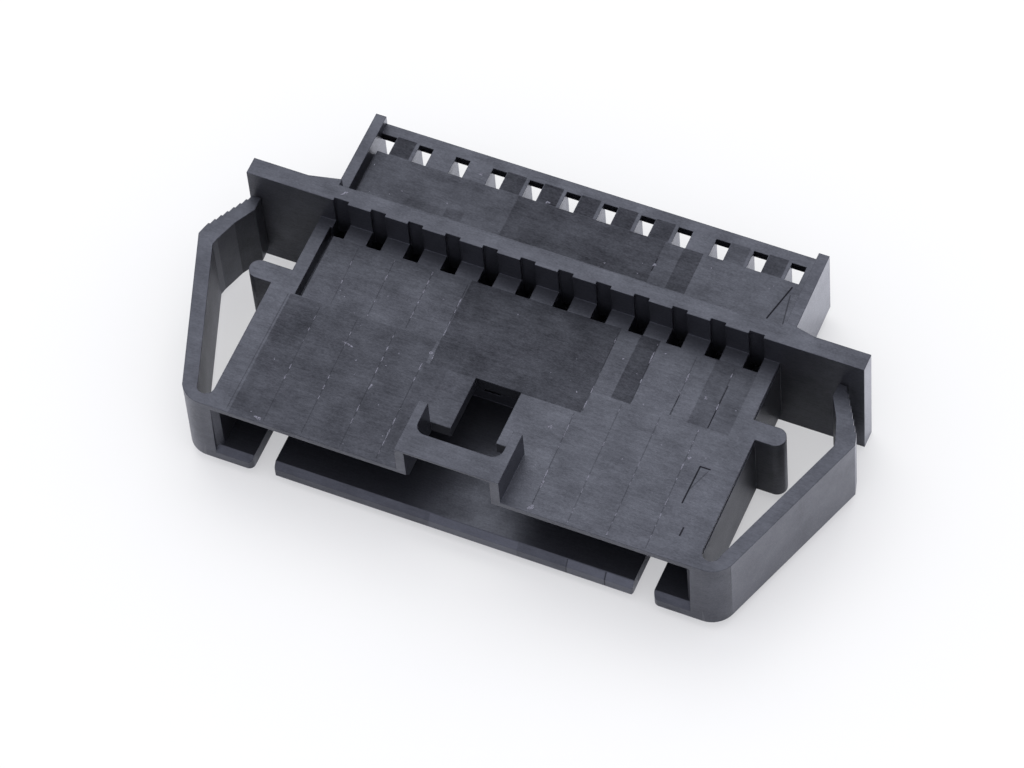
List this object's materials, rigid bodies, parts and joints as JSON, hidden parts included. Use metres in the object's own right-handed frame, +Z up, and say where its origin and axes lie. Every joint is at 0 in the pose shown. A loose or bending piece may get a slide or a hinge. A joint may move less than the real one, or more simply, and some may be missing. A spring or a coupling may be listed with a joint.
{
  "type": "wire connector housing",
  "caption": "Single-row crimp terminal housing with a wire block, a panel flange, a shrouded mouth with a latch hood, and sprung serrated side arms.",
  "frame": {"origin": "middle of the outside box, on the plane of the flange's lower edge, which the part rests on", "axes": "+X along the row of circuits, +Y towards the wire entry, +Z up through the latch hood; the mating half enters from -Y"},
  "size_m": [0.0442, 0.0242, 0.0087],
  "materials": {
    "black_plastic": "satin, fine-grained as moulded"
  },
  "bodies": {
    "root": {"housing": "black_plastic"}
  },
  "joints": []
}
